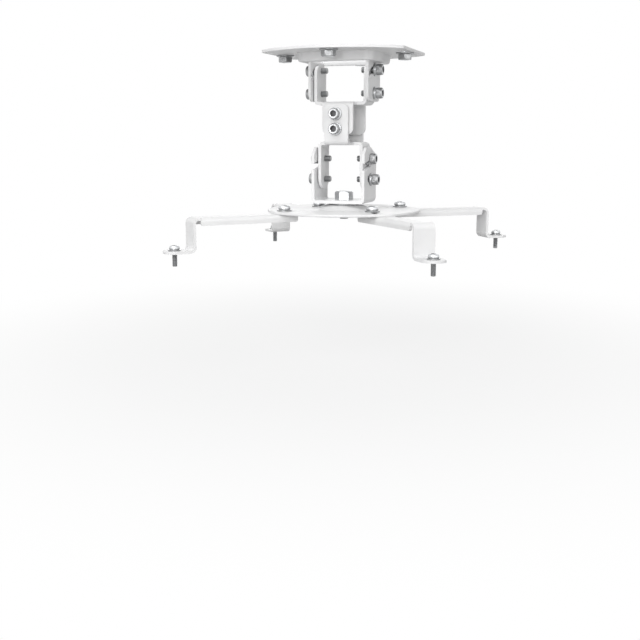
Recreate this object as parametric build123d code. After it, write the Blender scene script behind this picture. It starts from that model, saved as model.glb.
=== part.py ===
from build123d import *
from math import atan2, cos, hypot, radians, sin, tan
import os

# A ceiling mount for a projector: a pressed ceiling plate with two ears, two folded cross yokes,
# a base bracket, a swivelling disc with four pinwheel slots, and four cranked arms with feet.
# Origin: middle of the ceiling plate's top face. +Z is up, and -Y is the front.
# Every drop is a distance below the ceiling plate's top face. Millimetres and degrees.

# Ceiling plate
plate_width = 115.0
plate_depth = 120.0
plate_straight = 68.0
plate_corner = 3.0
plate_sheet = 2.0
tray_width = 66.0
tray_depth = 60.0
tray_corner = 9.0
tray_floor_drop = 8.8
tray_draft = 14.0
tray_edge = 1.2
side_slot_margin = 8.5
side_slot_length = 22.0
end_slot_margin = 12.0
end_slot_length = 15.0
ceiling_slot_width = 7.0

# Ceiling bolts, with how far each stands along its slot
ceiling_bolt_shank = 6.0
ceiling_bolt_flats = 10.0
ceiling_bolt_head = 5.6
ceiling_flange = 14.2
ceiling_flange_thick = 1.3
ceiling_bolt_short = 0.2
ceiling_bolt_turn = 20.0
left_bolt_shift = -5.0
right_bolt_shift = 2.0
front_bolt_shift = 3.0
rear_bolt_shift = -1.0

# Ears of the ceiling plate
ear_gap = 45.8
ear_width = 33.0
ear_drop = 39.0
ear_corner = 7.0
ear_relief = 4.0
ear_bend_radius = 0.5

# Folded sheet of the yokes and the bracket
yoke_sheet = 2.5
bend_radius = 1.5
notch_radius = 1.6
spacer_thick = 1.0

# Ceiling tilt joint, between the ears and the upper yoke
tilt_pivot_drop = 32.6
tilt_lock_clear = 0.2
tilt_range = 42.0

# Upper yoke
upper_up_width = 22.0
upper_up_drop = 11.0
upper_up_corner = 6.0
upper_base_drop = 41.8
upper_down_spread = 35.6
upper_down_width = 25.4
upper_down_drop = 65.0
upper_down_corner = 5.0

# Roll joint, between the two yokes
roll_pivot_drop = 48.8
roll_lock_radius = 11.7
roll_range = 8.0

# Lower yoke
lower_up_width = 19.8
lower_up_drop = 41.4
lower_up_corner = 4.0
lower_base_drop = 73.2
lower_down_spread = 37.8
lower_down_width = 20.0
lower_down_clear = 9.0
lower_down_corner = 9.0

# Pitch joint, between the lower yoke and the base bracket
pitch_pivot_drop = 84.0
pitch_lock_edge = 7.7
pitch_range = 15.0

# Base bracket
bracket_width = 33.0
bracket_base_drop = 119.7
bracket_top_drop = 74.8
bracket_top_front = 10.5
bracket_top_rear = 1.0
bracket_front_shoulder_drop = 80.5
bracket_rear_shoulder_drop = 81.0
bracket_round = 3.0
hook_mouth_drop = 88.2
hook_mouth_height = 5.6
hook_sink = 3.4

# Joint screws and their washers
screw_shank = 5.0
screw_head = 8.5
screw_head_height = 5.0
screw_socket_flats = 4.0
screw_socket_depth = 2.6
screw_end_out = 5.0
washer_outer = 10.0
washer_hole = 5.3
washer_thick = 1.0
spring_outer = 8.8
spring_thick = 1.2
spring_slit = 0.8
spring_slant = 20.0
pivot_clearance = 0.3
tap_clearance = 0.02
edge_break = 0.4
hex_crown = 0.97

# Swivel bolt, its washers and its nut
swivel_shank = 8.0
swivel_flats = 13.0
swivel_head = 7.0
swivel_turn = 18.0
swivel_fit = 0.08
thrust_outer = 25.0
thrust_thick = 1.5
nut_washer_outer = 18.0
nut_washer_thick = 1.6
swivel_nut_height = 6.5
swivel_end_out = 1.5

# Disc
disc_diameter = 125.0
disc_sheet = 2.0
hub_rise = 3.7
hub_top_radius = 14.0
hub_foot_clear = 0.6
disc_rim_round = 0.6

# Pinwheel slots of the disc
slot_start_radius = 32.6
slot_start_angle = 58.5
slot_heading = 27.6
slot_travel = 22.9

# Arms
arm_width = 18.0
arm_sheet = 2.0
arm_flange = 6.0
arm_flange_corner = 2.0
arm_tail = 7.7
arm_reach = 80.0
arm_drop = 26.6
arm_relief = 1.6
arm_bend_radius = 2.5
foot_length = 21.0
foot_round = 8.0
foot_hole_from_end = 8.5

# Clamp screws of the arms
clamp_shank = 5.0
clamp_head = 9.6
clamp_head_height = 3.4
clamp_washer_outer = 12.0
clamp_washer_thick = 1.0
clamp_fit = 0.08
clamp_nut_flats = 8.0
clamp_nut_height = 4.0
clamp_end_out = 0.8

# Foot screws
foot_shank = 4.0
foot_shoulder = 4.8
foot_head = 8.0
foot_head_height = 3.0
foot_washer_outer = 9.6
foot_washer_thick = 0.8
foot_clearance = 0.3
foot_thread_out = 10.0

# Pan heads: straight side and flat crown as shares of the head, and the cross recess
pan_side = 0.3
pan_flat = 0.12
recess_width = 1.2
recess_span = 4.6
recess_depth = 1.4

# Where each arm stands: the quarter turn of its slot, its travel along the slot, and its heading
front_right_share = 0.34
ARMS = {
    "front_left": (2, slot_travel, 227.2),
    "front_right": (3, front_right_share * slot_travel, 314.5),
    "rear_right": (0, slot_travel, 38.0),
    "rear_left": (1, 0.0, 136.5),
}

# Faces and holes that follow from the sizes above
side_slot_out = plate_width / 2 - side_slot_margin
end_slot_out = plate_depth / 2 - end_slot_margin
ear_out = ear_gap / 2 + plate_sheet
upper_up_out = ear_gap / 2 - spacer_thick
upper_down_out = upper_down_spread / 2
lower_up_out = upper_down_out + spacer_thick + yoke_sheet
lower_down_out = lower_down_spread / 2
bracket_out = lower_down_out + spacer_thick + yoke_sheet
hub_top_drop = bracket_base_drop + thrust_thick
hub_foot_radius = slot_start_radius - clamp_washer_outer / 2 - hub_foot_clear
disc_top_drop = hub_top_drop + hub_rise
arm_top_drop = disc_top_drop + disc_sheet
foot_top_drop = arm_top_drop + arm_drop - arm_sheet
tilt_lock_drop = tray_floor_drop + ear_bend_radius + washer_outer / 2 + tilt_lock_clear
tilt_lock_radius = tilt_pivot_drop - tilt_lock_drop
roll_lock_drop = roll_pivot_drop + roll_lock_radius
lower_down_drop = bracket_base_drop - yoke_sheet - lower_down_clear
pitch_lock_drop = lower_down_drop - pitch_lock_edge
pitch_lock_radius = pitch_lock_drop - pitch_pivot_drop
pivot_hole = screw_shank / 2 + pivot_clearance
tapped_hole = screw_shank / 2 + tap_clearance
washer_stack = washer_thick + spring_thick
through = plate_width
slot_foot = 270.0
DOWN = (0, 0, -1)


def hole(axis, at, radius):
    """A long cylinder through a point, to be cut away."""
    return Plane(origin=at, z_dir=axis) * Cylinder(radius, 2 * through)


def folded_profile(line, sheet, inner=bend_radius):
    """The section of a sheet folded square along a centre line, with rounded bends."""
    sides = {1: [], -1: []}
    steps = [(b[0] - a[0], b[1] - a[1]) for a, b in zip(line, line[1:])]
    normals = [(-dy / hypot(dx, dy), dx / hypot(dx, dy)) for dx, dy in steps]
    for i, (x, y) in enumerate(line):
        near = {normals[max(i - 1, 0)], normals[min(i, len(steps) - 1)]}
        for side, points in sides.items():
            points.append((x + side * sum(n[0] for n in near) * sheet / 2,
                           y + side * sum(n[1] for n in near) * sheet / 2))
    section = make_face(Polyline(*sides[1], *reversed(sides[-1]), close=True))
    for i in range(1, len(line) - 1):
        turn = steps[i - 1][0] * steps[i][1] - steps[i - 1][1] * steps[i][0]
        for side, points in sides.items():
            radius = inner if side * turn > 0 else inner + sheet
            corner = section.vertices().sort_by_distance((*points[i], 0))[0]
            section = fillet(corner, radius)
    return section


def channel(half_out, tip_drop, base_drop, width, plane):
    """A folded U with its base's outer face at one drop and its two tips at another."""
    rise = 1 if tip_drop < base_drop else -1
    wall = half_out - yoke_sheet / 2
    base = -base_drop + rise * yoke_sheet / 2
    line = [(-wall, -tip_drop), (-wall, base), (wall, base), (wall, -tip_drop)]
    return extrude(plane * folded_profile(line, yoke_sheet), width / 2, both=True)


def round_tips(part, axis, end, radius):
    """Round the corners of the sheet's highest (-1) or lowest (0) tips."""
    return fillet(part.edges().filter_by(axis).group_by(Axis.Z)[end], radius)


def arc_slot(pivot_drop, radius, start, sweep, plane):
    """A slot along an arc about a pivot, to be cut away."""
    middle = CenterArc((0, -pivot_drop), radius, start, sweep)
    return extrude(plane * SlotArc(middle, 2 * pivot_hole), through, both=True)


def ring(outer, bore, thick):
    """A flat washer that stands on the origin."""
    return extrude(Circle(outer / 2) - Circle(bore / 2), thick)


def spring_ring():
    """A split lock washer that stands on the origin."""
    slit = Rot(spring_slant, 0, 0) * Box(spring_outer, spring_slit, 4 * spring_thick)
    return ring(spring_outer, washer_hole, spring_thick) - Pos(spring_outer / 2, 0, spring_thick / 2) * slit


def hexagon(flats, height):
    """A hexagon prism with its upper corners broken by a cone."""
    corner = flats / 3 ** 0.5
    turned_blank = extrude(Circle(corner), height)
    turned_blank = chamfer(turned_blank.edges().group_by(Axis.Z)[-1], corner - hex_crown * flats / 2)
    return extrude(RegularPolygon(flats / 2, 6, major_radius=False), height) & turned_blank


def shank_below(diameter, length):
    """A screw's shank, below the origin, with its end broken."""
    shank = extrude(Circle(diameter / 2), length, dir=DOWN)
    return chamfer(shank.edges().group_by(Axis.Z)[0], edge_break)


def socket_screw(grip):
    """A socket cap screw with the underside of its head at the origin."""
    head = extrude(Circle(screw_head / 2), screw_head_height)
    head = fillet(head.edges().group_by(Axis.Z)[-1], edge_break)
    socket = extrude(RegularPolygon(screw_socket_flats / 2, 6, major_radius=False), screw_socket_depth)
    return head - Pos(0, 0, screw_head_height - screw_socket_depth) * socket + shank_below(screw_shank, grip)


def pan_screw(head, height, shank, grip):
    """A cross-recessed pan head screw with the underside of its head at the origin."""
    side = pan_side * height
    flat = pan_flat * head
    edge = Polyline((flat, height), (0, height), (0, 0), (head / 2, 0), (head / 2, side))
    crown = TangentArc((head / 2, side), (flat, height), tangent=(0, 1))
    body = revolve(Plane.XZ * make_face(edge + crown), Axis.Z)
    cross = Rectangle(recess_span, recess_width) + Rectangle(recess_width, recess_span)
    return body - Pos(0, 0, height - recess_depth) * extrude(cross, recess_depth) + shank_below(shank, grip)


def both_walls(half_out, drops, axis):
    """Places on the outer faces of a channel's two walls, with the way out of each."""
    ways = [(side * axis.X, side * axis.Y, 0) for side in (-1, 1)]
    return [((way[0] * half_out, way[1] * half_out, -drop), way) for way in ways for drop in drops]


def at_places(places, stand, piece):
    """Copies of a fastener piece, each standing a way out from its place."""
    return Compound(children=[Plane(origin=at, z_dir=way) * Pos(0, 0, stand) * piece for at, way in places])


def joint_fasteners(name, places, plain_places, outer_sheet):
    """Screws, washers, lock washers and spacers of one joint. Plain places have no washers."""
    grip = outer_sheet + spacer_thick + yoke_sheet + screw_end_out
    screws = at_places(places, washer_stack, socket_screw(grip + washer_stack)).children
    if plain_places:
        screws += at_places(plain_places, 0, socket_screw(grip)).children
    spacer = ring(washer_outer, washer_hole, spacer_thick)
    return {
        f"{name}_screws": Compound(children=list(screws)),
        f"{name}_washers": at_places(places, 0, ring(washer_outer, washer_hole, washer_thick)),
        f"{name}_lock_washers": at_places(places, washer_thick, spring_ring()),
        f"{name}_spacers": at_places(places + plain_places, -outer_sheet - spacer_thick, spacer),
    }


def ceiling_bolt_places():
    """Plan place of each ceiling bolt."""
    return [(-side_slot_out, left_bolt_shift), (side_slot_out, right_bolt_shift),
            (front_bolt_shift, -end_slot_out), (rear_bolt_shift, end_slot_out)]


def make_ceiling_plate():
    """Pressed plate: barrel-shaped rim, tray, floor window, two ears and four slots."""
    x, y, bow = plate_width / 2, plate_straight / 2, plate_depth / 2
    edge = ThreePointArc((-x, -y), (0, -bow), (x, -y)) + Line((x, -y), (x, y))
    edge += ThreePointArc((x, y), (0, bow), (-x, y)) + Line((-x, y), (-x, -y))
    outline = make_face(edge)
    plate = extrude(fillet(outline.vertices(), plate_corner), plate_sheet, dir=DOWN)
    tray = RectangleRounded(tray_width, tray_depth, tray_corner)
    plate += extrude(tray, tray_floor_drop, dir=DOWN, taper=tray_draft)
    plate = fillet(plate.edges().group_by(Axis.Z)[0], tray_edge)
    hollow = RectangleRounded(tray_width - 2 * plate_sheet, tray_depth - 2 * plate_sheet,
                              tray_corner - plate_sheet)
    plate -= extrude(hollow, tray_floor_drop - plate_sheet, dir=DOWN, taper=tray_draft)
    floor = -tray_floor_drop + plate_sheet / 2
    window = ear_out + ear_bend_radius
    plate -= Pos(0, 0, floor) * Box(2 * window, ear_width + 2 * ear_relief, 2 * plate_sheet)
    for side in (-1, 1):
        ear = side * (ear_out - plate_sheet / 2)
        line = [(side * (window + plate_sheet), floor), (ear, floor), (ear, -ear_drop)]
        section = folded_profile(line, plate_sheet, ear_bend_radius)
        sheet = extrude(Plane.XZ * section, ear_width / 2, both=True)
        plate += round_tips(sheet, Axis.X, 0, ear_corner)
    plate -= hole((1, 0, 0), (0, 0, -tilt_pivot_drop), pivot_hole)
    plate -= arc_slot(tilt_pivot_drop, tilt_lock_radius, 90, tilt_range, Plane.YZ)
    for side in (-1, 1):
        side_slot = Rot(0, 0, 90) * SlotOverall(side_slot_length, ceiling_slot_width)
        side_slot = Pos(side * side_slot_out, 0) * side_slot
        end_slot = Pos(0, side * end_slot_out) * SlotOverall(end_slot_length, ceiling_slot_width)
        plate -= extrude(side_slot, plate_sheet, dir=DOWN) + extrude(end_slot, plate_sheet, dir=DOWN)
    return plate


def make_ceiling_bolts():
    """Hex flange bolts, heads down, with their shanks ending inside the plate."""
    base = (Align.CENTER, Align.CENTER, Align.MIN)
    bolt = Cone(ceiling_flange / 2, ceiling_bolt_flats / 2, ceiling_flange_thick, align=base)
    bolt += hexagon(ceiling_bolt_flats, ceiling_bolt_head)
    bolt += extrude(Circle(ceiling_bolt_shank / 2), plate_sheet - ceiling_bolt_short, dir=DOWN)
    return Compound(children=[Pos(x, y, -plate_sheet) * Rot(180, 0, ceiling_bolt_turn * i) * bolt
                              for i, (x, y) in enumerate(ceiling_bolt_places())])


def cut_notches(yoke, half_x, half_y, base_drop):
    """Cut round reliefs where the folds of a cross blank meet."""
    for sx in (-1, 1):
        for sy in (-1, 1):
            yoke -= Pos(sx * half_x, sy * half_y, -base_drop) * Cylinder(notch_radius, 3 * yoke_sheet)
    return yoke


def make_upper_yoke():
    """One cross blank: arms up inside the ears, arms down at front and rear, tapped for screws."""
    up = channel(upper_up_out, upper_up_drop, upper_base_drop, upper_up_width, Plane.XZ)
    down = channel(upper_down_out, upper_down_drop, upper_base_drop - yoke_sheet, upper_down_width, Plane.YZ)
    yoke = round_tips(up, Axis.X, -1, upper_up_corner) + round_tips(down, Axis.Y, 0, upper_down_corner)
    yoke = cut_notches(yoke, upper_down_width / 2, upper_up_width / 2, upper_base_drop)
    for drop in (tilt_pivot_drop, tilt_lock_drop):
        yoke -= hole((1, 0, 0), (0, 0, -drop), tapped_hole)
    for drop in (roll_pivot_drop, roll_lock_drop):
        yoke -= hole((0, 1, 0), (0, 0, -drop), tapped_hole)
    return yoke


def make_lower_yoke():
    """One cross blank: arms up outside the upper yoke, arms down inside the bracket."""
    up = channel(lower_up_out, lower_up_drop, lower_base_drop, lower_up_width, Plane.YZ)
    down = channel(lower_down_out, lower_down_drop, lower_base_drop - yoke_sheet, lower_down_width, Plane.XZ)
    yoke = round_tips(up, Axis.Y, -1, lower_up_corner) + round_tips(down, Axis.X, 0, lower_down_corner)
    yoke = cut_notches(yoke, lower_up_width / 2, lower_down_width / 2, lower_base_drop)
    yoke -= hole((0, 1, 0), (0, 0, -roll_pivot_drop), pivot_hole)
    yoke -= arc_slot(roll_pivot_drop, roll_lock_radius, slot_foot - roll_range, 2 * roll_range, Plane.XZ)
    for drop in (pitch_pivot_drop, pitch_lock_drop):
        yoke -= hole((1, 0, 0), (0, 0, -drop), tapped_hole)
    return yoke


def make_base_bracket():
    """U bracket: sloped shoulders, a hook mouth open to the front, and an arc slot in each wall."""
    half = bracket_width / 2
    wall = make_face(Polyline(
        (half, -bracket_base_drop), (half, -bracket_rear_shoulder_drop),
        (bracket_top_rear, -bracket_top_drop), (-bracket_top_front, -bracket_top_drop),
        (-half, -bracket_front_shoulder_drop), (-half, -bracket_base_drop), close=True))
    shoulders = [v for v in wall.vertices() if v.Y > -bracket_rear_shoulder_drop - bracket_round]
    wall = fillet(shoulders, bracket_round)
    mouth = -half - bracket_round
    lips = Line((mouth, -hook_mouth_drop), (mouth, -hook_mouth_drop - hook_mouth_height))
    throat = Pos(0, -pitch_pivot_drop - hook_sink) * Circle(hook_mouth_height / 2)
    seat = Pos(0, -pitch_pivot_drop) * Circle(pivot_hole)
    wall -= make_hull(throat.edges() + lips.edges())
    wall -= make_hull(throat.edges() + seat.edges())
    bracket = channel(bracket_out, bracket_top_drop, bracket_base_drop, bracket_width, Plane.XZ)
    bracket &= extrude(Plane.YZ * wall, bracket_out, both=True)
    slot_start = slot_foot - pitch_range
    bracket -= arc_slot(pitch_pivot_drop, pitch_lock_radius, slot_start, 2 * pitch_range, Plane.YZ)
    return bracket - hole((0, 0, 1), (0, 0, -bracket_base_drop), swivel_shank / 2 + tap_clearance)


def swivel_fasteners():
    """The bolt that the disc turns on, its thrust washer, and its nut under the hub."""
    seat = -(bracket_base_drop - yoke_sheet)
    hub_under = hub_top_drop + disc_sheet
    nut_top = hub_under + nut_washer_thick
    grip = nut_top + seat + swivel_nut_height + swivel_end_out
    bore = swivel_shank + 2 * tap_clearance
    bolt = Rot(0, 0, swivel_turn) * hexagon(swivel_flats, swivel_head) + shank_below(swivel_shank, grip)
    nut = hexagon(swivel_flats, swivel_nut_height) - extrude(Circle(bore / 2), swivel_nut_height)
    return {
        "swivel_bolt": Pos(0, 0, seat) * bolt,
        "swivel_thrust_washer": Pos(0, 0, -hub_top_drop) * ring(thrust_outer, bore, thrust_thick),
        "swivel_nut_washer": Pos(0, 0, -nut_top) * ring(nut_washer_outer, bore, nut_washer_thick),
        "swivel_nut": Pos(0, 0, -nut_top) * Rot(180, 0, 0) * nut,
    }


def slot_point(quarter, travel):
    """Plan place of a clamp screw, some way along a pinwheel slot."""
    start, run = radians(slot_start_angle), radians(slot_heading)
    along = Vector(slot_start_radius * cos(start) + travel * cos(run),
                   slot_start_radius * sin(start) + travel * sin(run))
    return along.rotate(Axis.Z, 90 * quarter)


def make_spider_disc():
    """Dished disc of one sheet, with a raised hub and four pinwheel slots."""
    slope = atan2(hub_rise, hub_foot_radius - hub_top_radius)
    tuck = disc_sheet * tan(slope / 2)
    bore = swivel_shank / 2 + swivel_fit
    rim = disc_diameter / 2
    top = [(bore, -hub_top_drop), (hub_top_radius, -hub_top_drop),
           (hub_foot_radius, -disc_top_drop), (rim, -disc_top_drop)]
    under = [(rim, -arm_top_drop), (hub_foot_radius - tuck, -arm_top_drop),
             (hub_top_radius - tuck, -hub_top_drop - disc_sheet), (bore, -hub_top_drop - disc_sheet)]
    disc = revolve(Plane.XZ * make_face(Polyline(*top, *under, close=True)), Axis.Z)
    disc = fillet(disc.edges().filter_by(GeomType.CIRCLE).sort_by(SortBy.RADIUS)[-2:], disc_rim_round)
    for quarter in range(len(ARMS)):
        middle = slot_point(quarter, slot_travel / 2)
        slot = SlotCenterToCenter(slot_travel, clamp_shank + 2 * pivot_clearance)
        placed = Pos(middle.X, middle.Y, -arm_top_drop) * Rot(0, 0, slot_heading + 90 * quarter) * slot
        disc -= extrude(placed, disc_sheet)
    return disc


def make_arm():
    """Cranked arm: a shallow channel, then a bare strip folded down and out to a foot."""
    half, mid = arm_width / 2, arm_sheet / 2
    flange_end = arm_reach - arm_sheet - arm_bend_radius - arm_relief
    section = [(mid - half, -arm_flange), (mid - half, -mid), (half - mid, -mid), (half - mid, -arm_flange)]
    arm = extrude(Plane.YZ * folded_profile(section, arm_sheet), flange_end + arm_tail)
    arm = fillet(arm.edges().filter_by(Axis.Y).group_by(Axis.Z)[0], arm_flange_corner)
    line = [(flange_end, -mid), (arm_reach - mid, -mid), (arm_reach - mid, mid - arm_drop),
            (arm_reach + foot_length, mid - arm_drop)]
    strip = extrude(Plane.XZ * folded_profile(line, arm_sheet, arm_bend_radius), half, both=True)
    strip = fillet(strip.edges().filter_by(Axis.Z).group_by(Axis.X)[-1], foot_round)
    arm = Pos(-arm_tail, 0, 0) * arm + strip
    arm -= Cylinder(clamp_shank / 2 + clamp_fit, 4 * arm_sheet)
    foot_hole = Cylinder(foot_shoulder / 2 + foot_clearance, 4 * arm_sheet)
    return arm - Pos(foot_hole_out(), 0, -arm_drop) * foot_hole


def foot_hole_out():
    """How far the foot's hole is from the clamp screw."""
    return arm_reach + foot_length - foot_hole_from_end


def arm_pieces(name, arm, quarter, travel, heading):
    """One arm in its place, with its clamp and its foot screw."""
    middle = slot_point(quarter, travel)
    place = Pos(middle.X, middle.Y, 0) * Rot(0, 0, heading)
    clamp_seat = -disc_top_drop + clamp_washer_thick
    clamp_grip = clamp_washer_thick + disc_sheet + arm_sheet + clamp_nut_height + clamp_end_out
    clamp_bore = clamp_shank + 2 * tap_clearance
    clamp_screw = pan_screw(clamp_head, clamp_head_height, clamp_shank, clamp_grip)
    clamp_nut = hexagon(clamp_nut_flats, clamp_nut_height) - extrude(Circle(clamp_bore / 2), clamp_nut_height)
    foot = place * Pos(foot_hole_out(), 0, -foot_top_drop)
    foot_grip = foot_washer_thick + arm_sheet
    foot_screw = pan_screw(foot_head, foot_head_height, foot_shank, foot_grip + foot_thread_out)
    foot_screw += extrude(Circle(foot_shoulder / 2), foot_grip, dir=DOWN)
    foot_bore = foot_shoulder + 2 * tap_clearance
    return {
        f"arm_{name}": place * Pos(0, 0, -arm_top_drop) * arm,
        f"clamp_screw_{name}": place * Pos(0, 0, clamp_seat) * clamp_screw,
        f"clamp_washer_{name}": place * Pos(0, 0, -disc_top_drop)
        * ring(clamp_washer_outer, clamp_bore, clamp_washer_thick),
        f"clamp_nut_{name}": place * Pos(0, 0, -arm_top_drop - arm_sheet) * Rot(180, 0, 0) * clamp_nut,
        f"foot_screw_{name}": foot * Pos(0, 0, foot_washer_thick) * foot_screw,
        f"foot_washer_{name}": foot * ring(foot_washer_outer, foot_bore, foot_washer_thick),
    }


def make_nodes():
    """Every piece by its name."""
    tilt = both_walls(ear_out, (tilt_pivot_drop, tilt_lock_drop), Vector(1, 0))
    roll = both_walls(lower_up_out, (roll_pivot_drop, roll_lock_drop), Vector(0, 1))
    pitch_lock = both_walls(bracket_out, (pitch_lock_drop,), Vector(1, 0))
    pitch_pivot = both_walls(bracket_out, (pitch_pivot_drop,), Vector(1, 0))
    nodes = {
        "ceiling_plate": make_ceiling_plate(),
        "ceiling_bolts": make_ceiling_bolts(),
        "upper_yoke": make_upper_yoke(),
        "lower_yoke": make_lower_yoke(),
        "base_bracket": make_base_bracket(),
        "spider_disc": make_spider_disc(),
    }
    nodes |= joint_fasteners("tilt_joint", tilt, [], plate_sheet)
    nodes |= joint_fasteners("roll_joint", roll, [], yoke_sheet)
    nodes |= joint_fasteners("pitch_joint", pitch_lock, pitch_pivot, yoke_sheet)
    nodes |= swivel_fasteners()
    arm = make_arm()
    for name, (quarter, travel, heading) in ARMS.items():
        nodes |= arm_pieces(name, arm, quarter, travel, heading)
    return nodes


os.makedirs("parts", exist_ok=True)
for node, shape in make_nodes().items():
    export_step(shape, f"parts/{node}.step")
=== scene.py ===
from collections import namedtuple
from math import atan2, ceil, cos, pi, radians, sin, sqrt

import bmesh
import bpy
from bpy.props import FloatProperty, FloatVectorProperty, IntProperty, PointerProperty
from mathutils import Matrix, Vector


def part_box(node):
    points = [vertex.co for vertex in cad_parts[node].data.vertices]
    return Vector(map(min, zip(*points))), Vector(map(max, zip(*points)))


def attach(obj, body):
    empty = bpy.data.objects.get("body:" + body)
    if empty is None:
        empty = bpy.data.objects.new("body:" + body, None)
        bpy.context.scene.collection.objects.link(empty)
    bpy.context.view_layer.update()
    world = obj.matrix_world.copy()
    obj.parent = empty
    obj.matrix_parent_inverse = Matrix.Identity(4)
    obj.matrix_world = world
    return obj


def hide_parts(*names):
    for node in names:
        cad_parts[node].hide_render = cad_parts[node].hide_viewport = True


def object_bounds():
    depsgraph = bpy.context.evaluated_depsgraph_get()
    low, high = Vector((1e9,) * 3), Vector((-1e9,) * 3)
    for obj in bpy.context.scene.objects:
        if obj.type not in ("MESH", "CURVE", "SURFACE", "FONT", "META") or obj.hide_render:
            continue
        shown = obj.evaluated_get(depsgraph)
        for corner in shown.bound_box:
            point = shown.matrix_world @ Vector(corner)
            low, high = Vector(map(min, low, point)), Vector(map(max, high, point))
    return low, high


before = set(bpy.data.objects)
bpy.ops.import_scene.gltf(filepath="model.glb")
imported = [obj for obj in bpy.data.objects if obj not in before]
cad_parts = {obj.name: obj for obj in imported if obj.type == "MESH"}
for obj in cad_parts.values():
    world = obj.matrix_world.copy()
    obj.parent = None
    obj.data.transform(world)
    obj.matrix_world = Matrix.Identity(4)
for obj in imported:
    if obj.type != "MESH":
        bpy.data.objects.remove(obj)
CAD_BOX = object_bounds()

bl_info = {
    "name": "Projector Ceiling Mount",
    "version": (1, 0, 0),
    "blender": (4, 5, 0),
    "location": "View3D > Sidebar > Mount",
    "description": "Powder-coated sheets, turned fasteners and a stage for a ceiling mount",
    "category": "Object",
}

MM = 0.001
ORIGIN = Vector((0.0, 0.0, 0.0))
UP = Vector((0.0, 0.0, 1.0))
WHITE = (1, 1, 1, 1)

# Points nearer than WELD are one point. STACK_GAP keeps stacked faces from lying in one plane.
WELD = 1e-6
STACK_GAP = 0.01 * MM

# Material slots of a fastener, after its bright zinc: drive recesses with painted shade, and turned
# sides whose darker zinc is painted shade standing for their darker reflections.
RECESS, SHADED_SIDE = 1, 2

ARM_NAMES = ("front_left", "front_right", "rear_right", "rear_left")
JOINT_BODIES = {"tilt": "upper", "roll": "upper", "pitch": "lower"}
SHEETS = {
    "ceiling_plate": "ceiling",
    "upper_yoke": "upper",
    "lower_yoke": "lower",
    "base_bracket": "bracket",
    "spider_disc": "disc",
    **{f"arm_{name}": f"arm_{name}" for name in ARM_NAMES},
}

# Edges that fold by more than these are crisp. The disc's pressed hub has shallow creases.
CRISP_EDGE = radians(30.0)
SOFT_FOLD = radians(50.0)
PRESSED_FOLDS = {"spider_disc": radians(16.0)}
FLAT_FOLD = radians(0.05)

# Steps of a full circle.
HEAD_STEPS = 96
WASHER_STEPS = 64
SHANK_STEPS = 48
FLOOR_STEPS = 96

# Outer radius, pitch and end chamfer of each thread.
Thread = namedtuple("Thread", "radius pitch chamfer")
JOINT_THREAD = Thread(2.48 * MM, 0.8 * MM, 0.5 * MM)
CLAMP_THREAD = Thread(2.48 * MM, 0.8 * MM, 0.4 * MM)
FOOT_THREAD = Thread(1.985 * MM, 0.7 * MM, 0.4 * MM)
SWIVEL_THREAD = Thread(3.97 * MM, 1.25 * MM, 0.7 * MM)

# Threads and plain shanks start a little inside the head or shank above them.
THREAD_SINK = 0.3 * MM
SHANK_SINK = 0.2 * MM

# Bores of the washers and nuts.
JOINT_BORE = 5.3 * MM
SWIVEL_BORE = 8.04 * MM
CLAMP_BORE = 5.04 * MM
FOOT_BORE = 4.84 * MM

# The plain shank under a foot screw's head.
SHOULDER_RADIUS = 2.4 * MM
SHOULDER_LENGTH = 2.8 * MM

# Seat of the ceiling bolts on the plate's sheet, and their shank inside it.
BOLT_SEAT = -2.0 * MM
BOLT_SHANK_RADIUS = 3.0 * MM
BOLT_SHANK_LENGTH = 1.8 * MM

# Turns of like fasteners about their own lines, so that they do not all stand alike.
RING_TURN = radians(140.0)
BOLT_TURN = radians(20.0)
SWIVEL_TURN = radians(18.0)

# Stage, in metres: place and side of each square lamp, and the camera's sensor in millimetres.
LAMPS = {
    "key": ((0.25, -2.5, 0.35), 1.2),
    "top": ((-0.3, -1.3, 1.7), 1.8),
    "fill": ((1.8, -0.8, 0.0), 1.6),
    "back": ((-0.6, 2.2, 0.5), 1.6),
}
LAMP_TARGET = (0.0, 0.0, -0.08)
FLOOR_RADIUS = 6.0
SENSOR_WIDTH = 36.0
NEAREST_SEEN = 0.01


class CoatSettings(bpy.types.PropertyGroup):
    """Powder coat on the folded sheets."""

    colour: FloatVectorProperty(
        name="Coat", description="Colour of the powder coat",
        subtype="COLOR", size=3, min=0, max=1, default=(0.80, 0.80, 0.80))
    shade: FloatVectorProperty(
        name="Coat shade", description="Slightly thinner places of the coat",
        subtype="COLOR", size=3, min=0, max=1, default=(0.76, 0.76, 0.765))
    grain: FloatProperty(
        name="Grain", description="Size of the orange-peel texture",
        unit="LENGTH", default=0.9 * MM)
    edge: FloatProperty(
        name="Edge round", description="Radius that the coat leaves on cut edges",
        unit="LENGTH", default=0.3 * MM)


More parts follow.
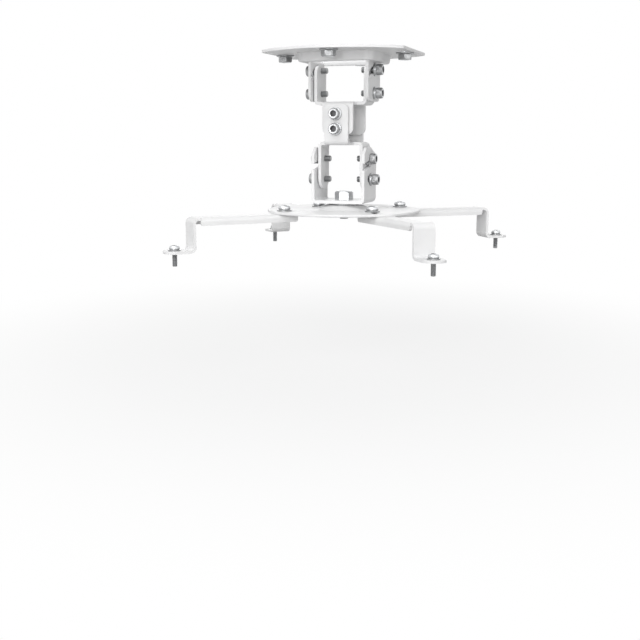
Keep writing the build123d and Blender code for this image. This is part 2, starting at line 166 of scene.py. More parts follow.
class FastenerSettings(bpy.types.PropertyGroup):
    """Zinc-plated screws, bolts, nuts and washers."""

    zinc: FloatVectorProperty(
        name="Zinc", description="Colour of the bright plating",
        subtype="COLOR", size=3, min=0, max=1, default=(0.66, 0.67, 0.68))
    zinc_dark: FloatVectorProperty(
        name="Dull zinc", description="Colour of the dull patches",
        subtype="COLOR", size=3, min=0, max=1, default=(0.58, 0.59, 0.60))
    # Painted shade: turned sides, knurls, threads and hex flats are drawn in this darker zinc in
    # place of the darker reflections that light gives them.
    side: FloatVectorProperty(
        name="Side", description="Colour of the darker turned and knurled sides",
        subtype="COLOR", size=3, min=0, max=1, default=(0.38, 0.385, 0.39))
    recess: FloatVectorProperty(
        name="Recess", description="Colour of the shaded drive recesses",
        subtype="COLOR", size=3, min=0, max=1, default=(0.16, 0.16, 0.165))
    knurls: IntProperty(
        name="Knurls", description="Ridges round a cap screw's head", default=36, min=8)
    turns_around: IntProperty(
        name="Thread steps", description="Steps in one turn of a thread", default=20, min=8)
    cap_head: FloatProperty(
        name="Cap head", description="Width of a cap screw's head",
        unit="LENGTH", default=8.5 * MM)
    cap_height: FloatProperty(
        name="Cap height", description="Height of a cap screw's head",
        unit="LENGTH", default=5.0 * MM)
    cap_socket: FloatProperty(
        name="Cap socket", description="Width across the flats of a cap screw's socket",
        unit="LENGTH", default=4.0 * MM)
    bolt_flange: FloatProperty(
        name="Bolt flange", description="Width of a ceiling bolt's flange",
        unit="LENGTH", default=14.2 * MM)
    bolt_flats: FloatProperty(
        name="Bolt flats", description="Width across the flats of a ceiling bolt",
        unit="LENGTH", default=10.0 * MM)
    bolt_height: FloatProperty(
        name="Bolt height", description="Height of a ceiling bolt's head",
        unit="LENGTH", default=5.6 * MM)
    swivel_flats: FloatProperty(
        name="Swivel flats", description="Width across the flats of the swivel bolt and nut",
        unit="LENGTH", default=13.0 * MM)
    swivel_height: FloatProperty(
        name="Swivel height", description="Height of the swivel bolt's head",
        unit="LENGTH", default=7.0 * MM)
    clamp_height: FloatProperty(
        name="Clamp height", description="Height of a clamp screw's head",
        unit="LENGTH", default=3.4 * MM)
    clamp_flats: FloatProperty(
        name="Clamp flats", description="Width across the flats of a clamp nut",
        unit="LENGTH", default=8.0 * MM)
    foot_height: FloatProperty(
        name="Foot height", description="Height of a foot screw's head",
        unit="LENGTH", default=3.0 * MM)


class StageSettings(bpy.types.PropertyGroup):
    """Camera, floor and lamps."""

    lens: FloatProperty(name="Lens", description="Focal length, in millimetres", default=51.80)
    eye: FloatVectorProperty(
        name="Eye", description="Place of the camera",
        subtype="TRANSLATION", size=3, default=(0.23802, -0.72433, -0.06731))
    heading: FloatProperty(
        name="Heading", description="Turn to the left", subtype="ANGLE", default=radians(19.67))
    dip: FloatProperty(
        name="Dip", description="Turn down", subtype="ANGLE", default=radians(11.20))
    floor: FloatVectorProperty(
        name="Floor", description="Colour of the floor",
        subtype="COLOR", size=3, min=0, max=1, default=(0.48, 0.48, 0.48))
    room: FloatProperty(
        name="Room below", description="Height of the feet above the floor, to tilt in",
        unit="LENGTH", default=80 * MM)
    ambient: FloatProperty(
        name="Ambient", description="Strength of the light from all round", default=0.34)
    key: FloatProperty(
        name="Key lamp", description="Power of the lamp in front", unit="POWER", default=30.0)
    top: FloatProperty(
        name="Top lamp", description="Power of the lamp above", unit="POWER", default=27.0)
    fill: FloatProperty(
        name="Fill lamp", description="Power of the lamp at the side", unit="POWER", default=13.0)
    back: FloatProperty(
        name="Back lamp", description="Power of the lamp behind", unit="POWER", default=14.0)


def coat_settings():
    return bpy.context.scene.mount_coat


def fastener_settings():
    return bpy.context.scene.mount_fasteners


def new_material(name):
    """A node material with its tree, shader and Object coordinates, or one made before alone."""
    material = bpy.data.materials.get(name)
    if material:
        return material, None, None, None
    material = bpy.data.materials.new(name)
    material.use_nodes = True
    tree = material.node_tree
    shader = tree.nodes["Principled BSDF"]
    place = tree.nodes.new("ShaderNodeTexCoord").outputs["Object"]
    return material, tree, shader, place


def noise(tree, place, size, detail):
    """A noise pattern whose grains are about the given size."""
    node = tree.nodes.new("ShaderNodeTexNoise")
    node.inputs["Scale"].default_value = 1 / size
    node.inputs["Detail"].default_value = detail
    tree.links.new(place, node.inputs["Vector"])
    return node.outputs["Fac"]


def ramp(tree, value, low, high, start=0.35, end=0.65):
    """Two colours laid out by a pattern."""
    node = tree.nodes.new("ShaderNodeValToRGB")
    node.color_ramp.elements[0].position = start
    node.color_ramp.elements[0].color = (*low, 1)
    node.color_ramp.elements[1].position = end
    node.color_ramp.elements[1].color = (*high, 1)
    tree.links.new(value, node.inputs["Fac"])
    return node.outputs["Color"]


def spread(tree, value, low, high, start=0.3, end=0.7):
    """A pattern spread between two values."""
    node = tree.nodes.new("ShaderNodeMapRange")
    node.inputs["From Min"].default_value = start
    node.inputs["From Max"].default_value = end
    node.inputs["To Min"].default_value = low
    node.inputs["To Max"].default_value = high
    tree.links.new(value, node.inputs["Value"])
    return node.outputs["Result"]


def bump(tree, shader, height, strength, distance):
    """Relief on the shader from a pattern."""
    node = tree.nodes.new("ShaderNodeBump")
    node.inputs["Strength"].default_value = strength
    node.inputs["Distance"].default_value = distance
    tree.links.new(height, node.inputs["Height"])
    tree.links.new(node.outputs["Normal"], shader.inputs["Normal"])


def powder_coat():
    """White powder coat: satin, with a fine orange peel and faint uneven patches."""
    settings = coat_settings()
    material, tree, shader, place = new_material("mount_powder_coat")
    if tree is None:
        return material
    patches = noise(tree, place, size=30 * settings.grain, detail=3)
    peel = noise(tree, place, size=settings.grain, detail=2)
    colour = ramp(tree, patches, settings.shade, settings.colour)
    tree.links.new(colour, shader.inputs["Base Color"])
    satin = spread(tree, peel, low=0.45, high=0.58)
    tree.links.new(satin, shader.inputs["Roughness"])
    shader.inputs["Specular IOR Level"].default_value = 0.3
    bump(tree, shader, peel, strength=0.12, distance=0.1 * settings.grain)
    return material


def plated(name, dull, bright):
    """Plated steel: metal with duller patches and fine tumbling marks."""
    material, tree, shader, place = new_material(name)
    if tree is None:
        return material
    patches = noise(tree, place, size=3 * MM, detail=4)
    marks = noise(tree, place, size=0.35 * MM, detail=3)
    colour = ramp(tree, patches, dull, bright)
    tree.links.new(colour, shader.inputs["Base Color"])
    polish = spread(tree, patches, low=0.5, high=0.4)
    tree.links.new(polish, shader.inputs["Roughness"])
    shader.inputs["Metallic"].default_value = 1.0
    bump(tree, shader, marks, strength=0.15, distance=0.03 * MM)
    return material


def zinc_plate():
    """Bright zinc plate of faces and flats."""
    settings = fastener_settings()
    return plated("mount_zinc_plate", settings.zinc_dark, settings.zinc)


def shaded_side_plate():
    """Zinc plate with painted shade: a darker copy of the zinc for knurls, threads and turned sides,
    standing for their darker reflections.
    """
    settings = fastener_settings()
    dull = tuple(0.8 * value for value in settings.side)
    return plated("mount_side_plate", dull, settings.side)


def dark_recess():
    """Shaded metal at the bottom of a drive recess."""
    settings = fastener_settings()
    material, tree, shader, place = new_material("mount_dark_recess")
    if tree is None:
        return material
    marks = noise(tree, place, size=0.5 * MM, detail=3)
    darker = tuple(0.5 * value for value in settings.recess)
    colour = ramp(tree, marks, darker, settings.recess)
    tree.links.new(colour, shader.inputs["Base Color"])
    shader.inputs["Metallic"].default_value = 0.6
    shader.inputs["Roughness"].default_value = 0.5
    return material


def piece_from(bm, name, materials, body, nodes, crisp=CRISP_EDGE):
    """Turn a bmesh into a finished piece that rides on a body and stands for CAD nodes."""
    bmesh.ops.recalc_face_normals(bm, faces=bm.faces)
    for face in bm.faces:
        face.smooth = True
    for edge in bm.edges:
        edge.smooth = edge.is_manifold and edge.calc_face_angle(pi) < crisp
    mesh = bpy.data.meshes.new(name)
    bm.to_mesh(mesh)
    bm.free()
    piece = bpy.data.objects.new(name, mesh)
    bpy.context.scene.collection.objects.link(piece)
    for material in materials:
        mesh.materials.append(material)
    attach(piece, body)
    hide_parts(*nodes)
    return piece


def settle_normals(piece):
    """Weight the shading by face size, so that flat sheet looks flat beside its bends."""
    weighting = piece.modifiers.new("weighting", "WEIGHTED_NORMAL")
    weighting.keep_sharp = True
    graph = bpy.context.evaluated_depsgraph_get()
    shaped = bpy.data.meshes.new_from_object(
        piece.evaluated_get(graph), preserve_all_data_layers=True, depsgraph=graph)
    plain = piece.data
    piece.modifiers.clear()
    piece.data = shaped
    bpy.data.meshes.remove(plain)
    shaped.name = piece.name


def welded_copy(node):
    """A bmesh of a CAD node with its loose triangles joined."""
    bm = bmesh.new()
    bm.from_mesh(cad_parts[node].data)
    bmesh.ops.remove_doubles(bm, verts=bm.verts, dist=WELD)
    return bm


def coated_sheet(node, body):
    """A folded sheet with its cut edges rounded by the coat."""
    bm = welded_copy(node)
    bmesh.ops.dissolve_limit(bm, angle_limit=FLAT_FOLD, verts=bm.verts, edges=bm.edges)
    rims = [edge for edge in bm.edges
            if edge.is_manifold and edge.calc_face_angle(0) > SOFT_FOLD]
    bmesh.ops.bevel(
        bm, geom=rims, offset=coat_settings().edge, offset_type="OFFSET", segments=2,
        profile=0.5, affect="EDGES", clamp_overlap=True, material=-1)
    crisp = PRESSED_FOLDS.get(node, SOFT_FOLD)
    piece = piece_from(
        bm, f"{node}_coated", [powder_coat()], body, [node], crisp)
    settle_normals(piece)


def solid_boxes(node):
    """Lowest and highest corners of each separate solid of a CAD node."""
    bm = welded_copy(node)
    waiting = set(bm.verts)
    boxes = []
    while waiting:
        island = [waiting.pop()]
        for vert in island:
            near = {edge.other_vert(vert) for edge in vert.link_edges} & waiting
            waiting -= near
            island.extend(near)
        low, high = (Vector(pick(vert.co[axis] for vert in island) for axis in range(3))
                     for pick in (min, max))
        boxes.append((low, high))
    bm.free()
    return sorted(boxes, key=lambda box: tuple(round(value / MM) for value in box[0]))


def stacked_box(node):
    """Box of a washer or a nut, drawn in a little from the faces that it lies between."""
    low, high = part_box(node)
    gap = STACK_GAP * UP
    return low + gap, high - gap


def round_outline(radius):
    """Outline of a round section."""
    return lambda angle: radius


def hex_outline(flats):
    """Outline of a hexagon by its width across flats, with a corner on the X axis."""
    return lambda angle: flats / 2 / cos(angle % (pi / 3) - pi / 6)


def hex_in_circle(flats, limit):
    """Outline of a hexagon whose corners are turned down to a circle."""
    flat_side = hex_outline(flats)
    return lambda angle: min(flat_side(angle), limit)


def knurl_outline(radius, depth, count):
    """Outline with ridges round it."""
    return lambda angle: radius - depth * (0.5 + 0.5 * cos(count * angle))


def cross_outline(span, width):
    """Outline of a cross recess."""
    straight_on = 0.01

    def outline(angle):
        turned = abs((angle + pi / 4) % (pi / 2) - pi / 4)
        end = span / 2 / cos(turned)
        return min(end, width / 2 / sin(turned)) if turned > straight_on else end
    return outline


def shape_ring(verts, outline, height):
    """Lay a ring of vertices on an outline at a height."""
    for vert in verts:
        angle = atan2(vert.co.y, vert.co.x)
        radius = outline(angle)
        vert.co = (radius * cos(angle), radius * sin(angle), height)


def skin_rings(bm, rings, segments, bored=False, dark_from=None, sides=()):
    """Skin a stack of (outline, height) rings, closed at both ends or joined round a bore.

    The faces up to the listed rings are turned sides in the darker zinc of painted shade,
    and those from another ring on are a drive recess.
    """
    made = bmesh.ops.create_circle(bm, cap_ends=False, segments=segments, radius=1.0)["verts"]
    first = list(dict.fromkeys(edge for vert in made for edge in vert.link_edges))
    shape_ring(made, *rings[0])
    loop = first
    for step, ring in enumerate(rings[1:], 1):
        grown = bmesh.ops.extrude_edge_only(bm, edges=loop)["geom"]
        verts, edges, faces = ([item for item in grown if isinstance(item, kind)] for kind in (
            bmesh.types.BMVert, bmesh.types.BMEdge, bmesh.types.BMFace))
        shape_ring(verts, *ring)
        recessed = dark_from is not None and step >= dark_from
        for face in faces:
            face.material_index = RECESS if recessed else SHADED_SIDE if step in sides else 0
        loop = [edge for edge in edges if len(edge.link_faces) == 1
                and all(abs(vert.co.z - ring[1]) < WELD for vert in edge.verts)]
    if bored:
        bmesh.ops.bridge_loops(bm, edges=first + loop)
        return
    bmesh.ops.edgeloop_fill(bm, edges=first)
    end = bmesh.ops.edgeloop_fill(bm, edges=loop)["faces"]
    if dark_from is not None:
        end[0].material_index = RECESS


def join(bm, part, place=None):
    """Add a bmesh to another, moved to its place."""
    if place is not None:
        bmesh.ops.transform(part, matrix=place, verts=part.verts)
    mesh = bpy.data.meshes.new("joined")
    part.to_mesh(mesh)
    part.free()
    bm.from_mesh(mesh)
    bpy.data.meshes.remove(mesh)


def everything(bm):
    """All vertices, edges and faces of a bmesh."""
    return list(bm.verts) + list(bm.edges) + list(bm.faces)


def thread_run(bm, thread, top, bottom):
    """A right-hand thread along Z between two heights, with a chamfered lower end."""
    radius, pitch, chamfer = thread
    steps = fastener_settings().turns_around
    root = radius - 0.58 * pitch
    crest = 0.08 * pitch
    turns = ceil((top - bottom) / pitch) + 2
    start = bottom - pitch
    part = bmesh.new()
    profile = ((root, 0), (radius, pitch / 2 - crest), (radius, pitch / 2 + crest), (root, pitch))
    verts = [part.verts.new((reach, 0, start + rise)) for reach, rise in profile]
    edges = [part.edges.new(pair) for pair in zip(verts, verts[1:])]
    bmesh.ops.spin(
        part, geom=verts + edges, cent=ORIGIN, axis=UP, dvec=(0, 0, pitch / steps),
        angle=2 * pi * turns, steps=steps * turns)
    bmesh.ops.remove_doubles(part, verts=part.verts, dist=WELD)
    for height, way in ((top, 1), (bottom, -1)):
        bmesh.ops.bisect_plane(
            part, geom=everything(part), dist=WELD / 10, plane_co=(0, 0, height),
            plane_no=(0, 0, way), clear_outer=True)
    rim = [edge for edge in part.edges if edge.is_boundary]
    bmesh.ops.holes_fill(part, edges=rim, sides=0)
    for vert in part.verts:
        reach = sqrt(vert.co.x ** 2 + vert.co.y ** 2)
        most = radius - chamfer + (vert.co.z - bottom)
        if reach > most:
            vert.co.x *= most / reach
            vert.co.y *= most / reach
    bmesh.ops.recalc_face_normals(part, faces=part.faces)
    # Threads take the darker side zinc, painted shade standing for their darker reflections.
    for face in part.faces:
        face.material_index = SHADED_SIDE
    join(bm, part)


def plain_run(bm, radius, length):
    """A plain round shank below the origin."""
    outline = round_outline(radius)
    skin_rings(bm, [(outline, -length), (outline, SHANK_SINK)], SHANK_STEPS)


def cap_screw(length):
    """A socket cap screw, knurled, with the underside of its head at the origin."""
    settings = fastener_settings()
    part = bmesh.new()
    radius, height, socket = settings.cap_head / 2, settings.cap_height, settings.cap_socket
    edge, groove, knurl_depth = 0.5 * MM, 0.12 * MM, 0.16 * MM
    chamfer, socket_depth = 0.25 * MM, 2.6 * MM
    knurl = knurl_outline(radius, knurl_depth, settings.knurls)
    rings = [
        (round_outline(radius - edge), 0),
        (knurl, 0.6 * edge),
        (knurl, height - 2.2 * edge),
        (round_outline(radius - groove), height - 1.8 * edge),
        (round_outline(radius - 0.3 * edge), height - 0.8 * edge),
        (round_outline(radius - 1.3 * edge), height),
        (round_outline(0.64 * socket), height),
        (hex_outline(socket), height - chamfer),
        (hex_outline(socket), height - socket_depth),
    ]
    skin_rings(part, rings, 4 * settings.knurls, dark_from=7, sides=(1, 2, 3, 4, 5))
    thread_run(part, JOINT_THREAD, THREAD_SINK, -length)
    return part


def pan_screw(head, height, thread, length, shoulder):
    """A cross-recessed pan head screw with the underside of its head at the origin.

    A shoulder is the length of the plain shank between its head and its thread.
    """
    part = bmesh.new()
    radius = head / 2
    edge, recess_depth = 0.25 * MM, 1.4 * MM
    recess, wide = 0.56 * head, 0.16 * head
    rings = [
        (round_outline(radius - edge), 0),
        (round_outline(radius), edge),
        (round_outline(radius), 0.38 * height),
        (round_outline(0.98 * radius), 0.56 * height),
        (round_outline(0.92 * radius), 0.76 * height),
        (round_outline(0.83 * radius), 0.89 * height),
        (round_outline(0.71 * radius), 0.97 * height),
        (cross_outline(1.06 * recess, 1.3 * wide), height),
        (cross_outline(recess, wide), height - edge),
        (cross_outline(0.72 * recess, 0.8 * wide), height - recess_depth),
    ]
    skin_rings(part, rings, HEAD_STEPS, dark_from=8, sides=(1, 2))
    if shoulder:
        plain_run(part, SHOULDER_RADIUS, shoulder)
    thread_run(part, thread, THREAD_SINK - shoulder, -length)
    return part


def flat_washer(outer, bore, thick):
    """A stamped washer standing on the origin, with rolled upper and lower edges."""
    part = bmesh.new()
    roll = 0.2 * thick
    rings = [
        (round_outline(bore / 2), roll),
        (round_outline(bore / 2 + roll), 0),
        (round_outline(outer / 2 - roll), 0),
        (round_outline(outer / 2), roll),
        (round_outline(outer / 2), thick - roll),
        (round_outline(outer / 2 - roll), thick),
        (round_outline(bore / 2 + roll), thick),
        (round_outline(bore / 2), thick - roll),
    ]
    skin_rings(part, rings, WASHER_STEPS, bored=True, sides=(3, 4, 5))
    return part


def split_washer(outer, bore, thick):
    """A spring lock washer standing on the origin: a turn of square wire, stepped at its split."""
    part = bmesh.new()
    rise = 0.12 * thick
    wire = thick - rise
    wide = (outer - bore) / 2
    grid = bmesh.ops.create_grid(part, x_segments=1, y_segments=1, size=0.5)["verts"]
    bmesh.ops.scale(part, verts=grid, vec=(wide, wire, 1))
    bmesh.ops.rotate(part, verts=grid, cent=ORIGIN, matrix=Matrix.Rotation(pi / 2, 3, "X"))
    bmesh.ops.translate(part, verts=grid, vec=(bore / 2 + wide / 2, 0, wire / 2))
    bmesh.ops.bevel(
        part, geom=list(part.verts), offset=0.15 * wire, offset_type="OFFSET", segments=2,
        profile=0.5, affect="VERTICES", material=-1)
    sweep, steps = radians(346.0), 60
    bmesh.ops.spin(
        part, geom=everything(part), cent=ORIGIN, axis=UP, dvec=(0, 0, rise / steps),
        angle=sweep, steps=steps)
    return part


def hex_nut(flats, height, bore):
    """A hexagon nut standing on the origin, with turned corners and a countersunk bore."""
    part = bmesh.new()
    sink = 0.45 * MM
    inside, mouth = round_outline(bore / 2), round_outline(bore / 2 + sink)
    face = round_outline(0.96 * flats / 2)
    corners = hex_in_circle(flats, 1.03 * flats / 2)
    rings = [
        (inside, sink),
        (mouth, 0),
        (face, 0),
        (corners, 0.06 * height),
        (hex_outline(flats), 0.16 * height),
        (hex_outline(flats), 0.84 * height),
        (corners, 0.94 * height),
        (face, height),
        (mouth, height),
        (inside, height - sink),
    ]
    skin_rings(part, rings, HEAD_STEPS, bored=True)
    return part


def hex_head(part, flats, height, base, dish, sides=()):
    """A hexagon bolt head above a base height, with turned corners and a dished top."""
    rings = [
        (hex_outline(flats), base),
        (hex_outline(flats), 0.82 * height),
        (hex_in_circle(flats, 1.04 * flats / 2), 0.94 * height),
        (round_outline(0.95 * flats / 2), height),
        (round_outline(0.72 * flats / 2), height),
        (round_outline(0.62 * flats / 2), height - dish),
    ]
    skin_rings(part, rings, HEAD_STEPS, sides=sides)


def flange_bolt():
    """A hexagon flange bolt with the underside of its flange at the origin."""
    settings = fastener_settings()
    part = bmesh.new()
    radius = settings.bolt_flange / 2
    flange = [
        (round_outline(radius - 0.3 * MM), 0),
        (round_outline(radius), 0.25 * MM),
        (round_outline(radius), 0.7 * MM),
        (round_outline(0.93 * radius), 1.0 * MM),
        (round_outline(0.74 * radius), 1.5 * MM),
        (round_outline(0.66 * radius), 1.9 * MM),
    ]
    # The flange's rim and the hex flats take the darker side zinc of painted shade.
    skin_rings(part, flange, HEAD_STEPS, sides=(1, 2, 3, 4, 5))
    hex_head(part, settings.bolt_flats, settings.bolt_height,
             base=1.2 * MM, dish=0.5 * MM, sides=(1, 2, 3))
    plain_run(part, BOLT_SHANK_RADIUS, BOLT_SHANK_LENGTH)
    return part


def make_piece(name, parts, body, node):
    """One zinc-plated piece from placed copies of a fastener."""
    bm = bmesh.new()
    for part, place in parts:
        join(bm, part, place)
    # Bright zinc, then the recess and side finishes, both with painted shade.
    finishes = [zinc_plate(), dark_recess(), shaded_side_plate()]
    piece_from(bm, name, finishes, body, [node])


def place_at(point, way):
    """The place of a fastener whose own +Z points out along a direction."""
    turn = Vector(way).to_track_quat("Z", "Y").to_matrix().to_4x4()
    return Matrix.Translation(point) @ turn


def outward(box):
    """A joint fastener's way out, its line's point on the middle plane, and its two reaches.

    The reaches are how far its outer and inner ends stand off the mount's middle plane.
    """
    low, high = box
    point = (low + high) / 2
    axis = 0 if abs(point.x) > abs(point.y) else 1
    way = Vector((0, 0, 0))
    way[axis] = 1 if point[axis] > 0 else -1
    point[axis] = 0
    near, far = sorted((abs(low[axis]), abs(high[axis])))
    return way, point, far, near


def dress_joint(name, body):
    """Screws, washers, lock washers and spacers of one joint."""
    screws = []
    for box in solid_boxes(f"{name}_joint_screws"):
        way, point, far, near = outward(box)
        seat = far - fastener_settings().cap_height
        screws.append((cap_screw(seat - near), place_at(point + seat * way, way)))
    make_piece(f"{name}_screws_knurled", screws, body, f"{name}_joint_screws")
    kinds = (("washers", flat_washer, "stamped"), ("lock_washers", split_washer, "split"),
             ("spacers", flat_washer, "stamped"))
    for kind, maker, finish in kinds:
        rings = []
        for count, box in enumerate(solid_boxes(f"{name}_joint_{kind}")):
            way, point, far, near = outward(box)
            outer = (box[1] - box[0]).z
            part = maker(outer, JOINT_BORE, far - near - 2 * STACK_GAP)
            turned = Matrix.Rotation(count * RING_TURN, 4, "Z")
            rings.append((part, place_at(point + (near + STACK_GAP) * way, way) @ turned))
        make_piece(f"{name}_{kind}_{finish}", rings, body, f"{name}_joint_{kind}")


def arm_heading(name):
    """The turn of an arm about its clamp, from the clamp to the foot."""
    clamp, foot = (sum(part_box(f"{kind}_screw_{name}"), Vector()) / 2 for kind in ("clamp", "foot"))
    return Matrix.Rotation(atan2(foot.y - clamp.y, foot.x - clamp.x), 4, "Z")


def screw_and_washer(kind, name, body, height, thread, bore, shoulder=0):
    """The pan screw of an arm's clamp or foot, and its washer. Gives the point of its seat."""
    screw, washer = f"{kind}_screw_{name}", f"{kind}_washer_{name}"
    low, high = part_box(screw)
    seat = (low + high) / 2
    seat.z = high.z - height
    part = pan_screw(high.x - low.x, height, thread, seat.z - low.z, shoulder)
    place = Matrix.Translation(seat) @ arm_heading(name)
    make_piece(f"{screw}_cross", [(part, place)], body, screw)
    low, high = stacked_box(washer)
    part = flat_washer(high.x - low.x, bore, high.z - low.z)
    place = Matrix.Translation((seat.x, seat.y, low.z))
    make_piece(f"{washer}_stamped", [(part, place)], body, washer)
    return seat


class MOUNT_OT_sheets(bpy.types.Operator):
    """Coat the folded sheets: plate, yokes, bracket, disc and arms"""

    bl_idname = "mount.sheets"
    bl_label = "Coated sheets"

    def execute(self, context):
        for node, body in SHEETS.items():
            coated_sheet(node, body)
        return {"FINISHED"}


class MOUNT_OT_joint_fasteners(bpy.types.Operator):
    """Make the knurled screws and the washers of the three joints"""

    bl_idname = "mount.joint_fasteners"
    bl_label = "Joint fasteners"

    def execute(self, context):
        for name, body in JOINT_BODIES.items():
            dress_joint(name, body)
        return {"FINISHED"}


class MOUNT_OT_ceiling_bolts(bpy.types.Operator):
    """Make the hexagon flange bolts of the ceiling plate"""

    bl_idname = "mount.ceiling_bolts"
    bl_label = "Ceiling bolts"

    def execute(self, context):
        boxes = solid_boxes("ceiling_bolts")
        sides = sorted(boxes, key=lambda box: box[0].x)
        ends = sorted(boxes, key=lambda box: box[0].y)
        bolts = []
        for count, (low, high) in enumerate((sides[0], sides[-1], ends[0], ends[-1])):
            seat = (low + high) / 2
            seat.z = BOLT_SEAT
            turned = Matrix.Rotation(count * BOLT_TURN, 4, "Z")
            bolts.append((flange_bolt(), place_at(seat, -UP) @ turned))
        make_piece("ceiling_bolts_flanged", bolts, "ceiling", "ceiling_bolts")
        return {"FINISHED"}


class MOUNT_OT_swivel(bpy.types.Operator):
    """Make the swivel bolt, its washers and its nut"""

    bl_idname = "mount.swivel"
    bl_label = "Swivel bolt"

    def execute(self, context):
        settings = context.scene.mount_fasteners
        low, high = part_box("swivel_bolt")
        seat = high.z - settings.swivel_height
        bolt = bmesh.new()
        hex_head(bolt, settings.swivel_flats, settings.swivel_height, base=0, dish=0.4 * MM)
        thread_run(bolt, SWIVEL_THREAD, THREAD_SINK, low.z - seat)
        place = Matrix.Translation((0, 0, seat)) @ Matrix.Rotation(SWIVEL_TURN, 4, "Z")
        make_piece("swivel_bolt_turned", [(bolt, place)], "bracket", "swivel_bolt")
        for node in ("swivel_thrust_washer", "swivel_nut_washer"):
            low, high = stacked_box(node)
            part = flat_washer(high.x - low.x, SWIVEL_BORE, high.z - low.z)
            place = Matrix.Translation((0, 0, low.z))
            make_piece(f"{node}_stamped", [(part, place)], "bracket", node)
        low, high = stacked_box("swivel_nut")
        part = hex_nut(settings.swivel_flats, high.z - low.z, SWIVEL_BORE)
        place = Matrix.Translation((0, 0, low.z))
        make_piece("swivel_nut_turned", [(part, place)], "bracket", "swivel_nut")
        return {"FINISHED"}


class MOUNT_OT_clamps(bpy.types.Operator):
    """Make the pan screws, washers and nuts that clamp the arms to the disc"""

    bl_idname = "mount.clamps"
    bl_label = "Arm clamps"

    def execute(self, context):
        settings = context.scene.mount_fasteners
        for name in ARM_NAMES:
            body, nut = f"clamp_{name}", f"clamp_nut_{name}"
            seat = screw_and_washer(
                "clamp", name, body, settings.clamp_height, CLAMP_THREAD, CLAMP_BORE)
            low, high = stacked_box(nut)
            part = hex_nut(settings.clamp_flats, high.z - low.z, CLAMP_BORE)
            place = Matrix.Translation((seat.x, seat.y, low.z)) @ arm_heading(name)
            make_piece(f"{nut}_turned", [(part, place)], body, nut)
        return {"FINISHED"}


class MOUNT_OT_feet(bpy.types.Operator):
    """Make the screws and washers of the feet"""

    bl_idname = "mount.feet"
    bl_label = "Foot screws"

    def execute(self, context):
        height = context.scene.mount_fasteners.foot_height
        for name in ARM_NAMES:
            screw_and_washer(
                "foot", name, f"arm_{name}", height, FOOT_THREAD, FOOT_BORE, SHOULDER_LENGTH)
        return {"FINISHED"}


def camera_sees(tree, lit, seen):
    """One shader for the camera and for reflections, and another for all other light."""
    path = tree.nodes.new("ShaderNodeLightPath")
    total = path.outputs["Is Camera Ray"]
    for kind in ("Is Glossy Ray", "Is Transmission Ray"):
        either = tree.nodes.new("ShaderNodeMath")
        either.operation = "MAXIMUM"
        tree.links.new(total, either.inputs[0])
        tree.links.new(path.outputs[kind], either.inputs[1])
        total = either.outputs["Value"]
    mix = tree.nodes.new("ShaderNodeMixShader")
    tree.links.new(total, mix.inputs["Fac"])
    tree.links.new(lit, mix.inputs[1])
    tree.links.new(seen, mix.inputs[2])
    return mix.outputs["Shader"]


def studio_world(scene, strength):
    """Even light from all round, on a white background."""
    world = bpy.data.worlds.new("studio")
    scene.world = world
    world.use_nodes = True
    tree = world.node_tree
    lit = tree.nodes["Background"]
    lit.inputs["Strength"].default_value = strength
    lit.inputs["Color"].default_value = WHITE
    seen = tree.nodes.new("ShaderNodeBackground")
    seen.inputs["Color"].default_value = WHITE
    out = camera_sees(tree, lit.outputs["Background"], seen.outputs["Background"])
    tree.links.new(out, tree.nodes["World Output"].inputs["Surface"])


def floor_material(settings):
    """Pale floor that keeps the mount's shadow and runs out into the white background."""
    material, tree, shader, place = new_material("mount_pale_floor")
    patches = noise(tree, place, size=0.2, detail=2)
    duller = [0.98 * value for value in settings.floor]
    colour = ramp(tree, patches, duller, settings.floor)
    tree.links.new(colour, shader.inputs["Base Color"])
    shader.inputs["Roughness"].default_value = 0.9
    shader.inputs["Specular IOR Level"].default_value = 0.0
    white = tree.nodes.new("ShaderNodeEmission")
    white.inputs["Color"].default_value = WHITE
    away = tree.nodes.new("ShaderNodeVectorMath")
    away.operation = "LENGTH"
    tree.links.new(place, away.inputs[0])
    fade = tree.nodes.new("ShaderNodeMapRange")
    fade.interpolation_type = "SMOOTHSTEP"
    fade_values = {"From Min": 0.1, "From Max": 0.45, "To Min": 0.84}
    for name, value in fade_values.items():
        fade.inputs[name].default_value = value
    tree.links.new(away.outputs["Value"], fade.inputs["Value"])
    runs_out = camera_sees(tree, shader.outputs["BSDF"], white.outputs["Emission"])
    mix = tree.nodes.new("ShaderNodeMixShader")
    tree.links.new(fade.outputs["Result"], mix.inputs["Fac"])
    tree.links.new(shader.outputs["BSDF"], mix.inputs[1])
    tree.links.new(runs_out, mix.inputs[2])
    tree.links.new(mix.outputs["Shader"], tree.nodes["Material Output"].inputs["Surface"])
    return material


def soft_lamp(name, place, target, size, power):
    """A square area lamp that faces a point."""
    lamp = bpy.data.lights.new(name, "AREA")
    lamp.size = size
    lamp.energy = power
    lamp_object = bpy.data.objects.new(name, lamp)
    lamp_object.location = place
    facing = Vector(target) - Vector(place)
    lamp_object.rotation_euler = facing.to_track_quat("-Z", "Y").to_euler()
    bpy.context.scene.collection.objects.link(lamp_object)


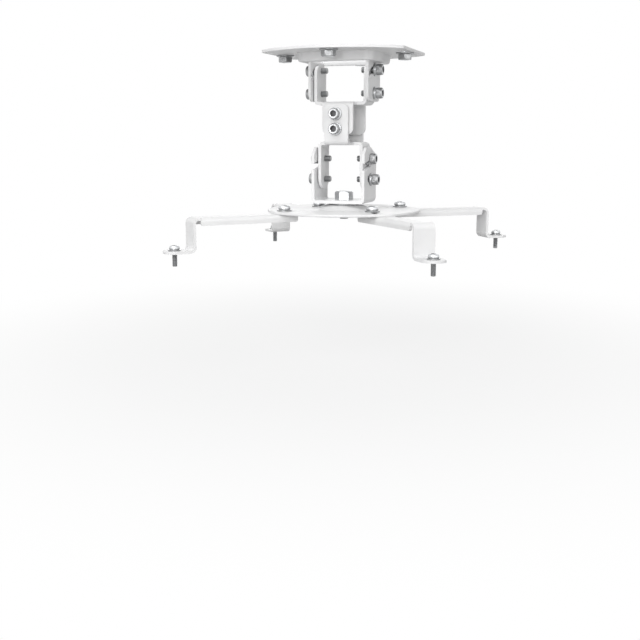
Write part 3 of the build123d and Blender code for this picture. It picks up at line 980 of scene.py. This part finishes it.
class MOUNT_OT_stage(bpy.types.Operator):
    """Set the camera, the floor and the lamps"""

    bl_idname = "mount.stage"
    bl_label = "Stage"

    def execute(self, context):
        scene = context.scene
        settings = scene.mount_stage
        camera = bpy.data.cameras.new("camera")
        camera.lens = settings.lens
        camera.sensor_width = SENSOR_WIDTH
        camera.clip_start = NEAREST_SEEN
        camera_object = bpy.data.objects.new("camera", camera)
        camera_object.location = settings.eye
        camera_object.rotation_euler = (pi / 2 - settings.dip, 0, settings.heading)
        scene.collection.objects.link(camera_object)
        scene.camera = camera_object
        studio_world(scene, settings.ambient)
        bm = bmesh.new()
        bmesh.ops.create_circle(bm, cap_ends=True, segments=FLOOR_STEPS, radius=FLOOR_RADIUS)
        mesh = bpy.data.meshes.new("floor")
        bm.to_mesh(mesh)
        bm.free()
        mesh.materials.append(floor_material(settings))
        floor = bpy.data.objects.new("floor", mesh)
        floor.location.z = CAD_BOX[0][2] - settings.room
        scene.collection.objects.link(floor)
        for name, (place, size) in LAMPS.items():
            soft_lamp(name, place, LAMP_TARGET, size, getattr(settings, name))
        scene.view_settings.view_transform = "Standard"
        return {"FINISHED"}


class MOUNT_PT_panel(bpy.types.Panel):
    """Sizes, colours and steps of the mount"""

    bl_idname = "MOUNT_PT_panel"
    bl_label = "Projector Ceiling Mount"
    bl_space_type = "VIEW_3D"
    bl_region_type = "UI"
    bl_category = "Mount"

    def draw(self, context):
        scene = context.scene
        for group in (scene.mount_coat, scene.mount_fasteners, scene.mount_stage):
            box = self.layout.box()
            for name in group.__annotations__:
                box.prop(group, name)
        for step in STEPS:
            self.layout.operator(step.bl_idname)


GROUPS = {
    "mount_coat": CoatSettings,
    "mount_fasteners": FastenerSettings,
    "mount_stage": StageSettings,
}
STEPS = (
    MOUNT_OT_sheets,
    MOUNT_OT_joint_fasteners,
    MOUNT_OT_ceiling_bolts,
    MOUNT_OT_swivel,
    MOUNT_OT_clamps,
    MOUNT_OT_feet,
    MOUNT_OT_stage,
)


def register():
    for name, group in GROUPS.items():
        bpy.utils.register_class(group)
        setattr(bpy.types.Scene, name, PointerProperty(type=group))
    for step in STEPS:
        bpy.utils.register_class(step)
    bpy.utils.register_class(MOUNT_PT_panel)


def unregister():
    bpy.utils.unregister_class(MOUNT_PT_panel)
    for step in reversed(STEPS):
        bpy.utils.unregister_class(step)
    for name, group in GROUPS.items():
        delattr(bpy.types.Scene, name)
        bpy.utils.unregister_class(group)


def main():
    register()
    bpy.ops.mount.sheets()
    bpy.ops.mount.joint_fasteners()
    bpy.ops.mount.ceiling_bolts()
    bpy.ops.mount.swivel()
    bpy.ops.mount.clamps()
    bpy.ops.mount.feet()
    bpy.ops.mount.stage()


if __name__ == "__main__":
    main()
